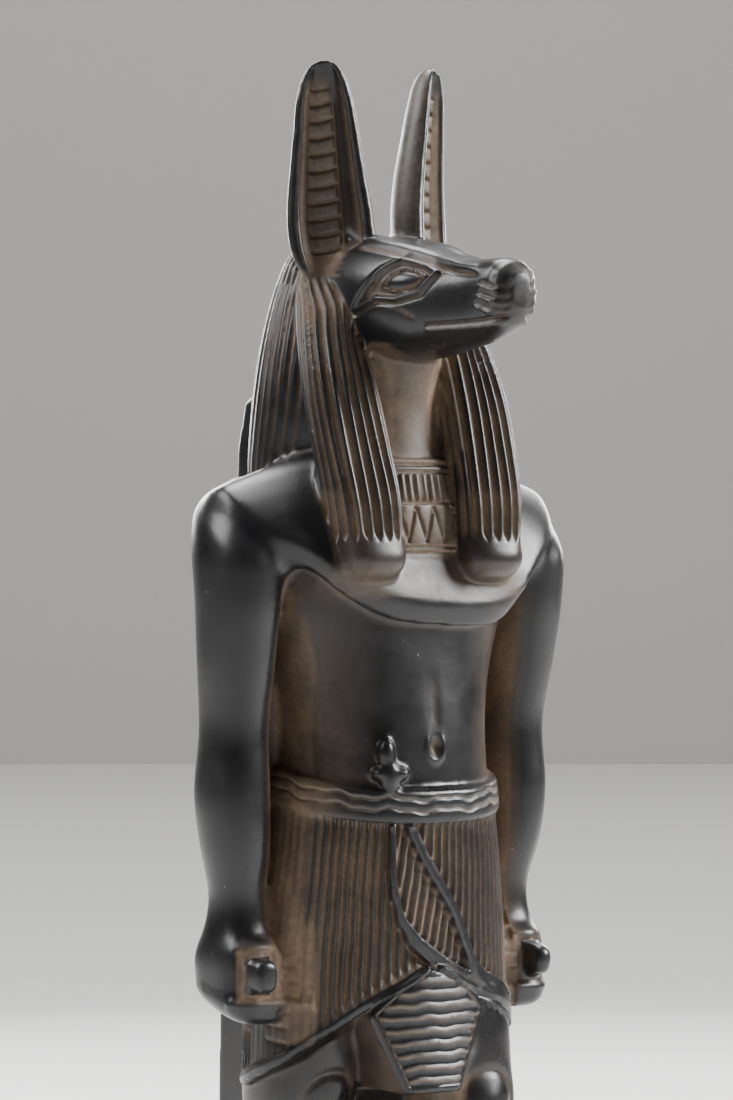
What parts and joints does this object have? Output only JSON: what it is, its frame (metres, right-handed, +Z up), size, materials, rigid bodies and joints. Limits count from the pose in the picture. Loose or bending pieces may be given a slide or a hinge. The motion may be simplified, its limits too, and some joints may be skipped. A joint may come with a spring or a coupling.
{
  "type": "anubis figurine",
  "caption": "Cast black souvenir figure of a standing jackal-headed deity in striped wig and pleated kilt, with back pillar and low base.",
  "frame": {"origin": "middle of the base's underside", "axes": "+Z up, the figure faces -Y, +X towards its left hand"},
  "size_m": [0.0698, 0.0816, 0.2397],
  "materials": {
    "black_resin": "satin black cast resin with brown patina in the recesses"
  },
  "bodies": {
    "root": {"anubis_figure": "black_resin"}
  },
  "joints": []
}
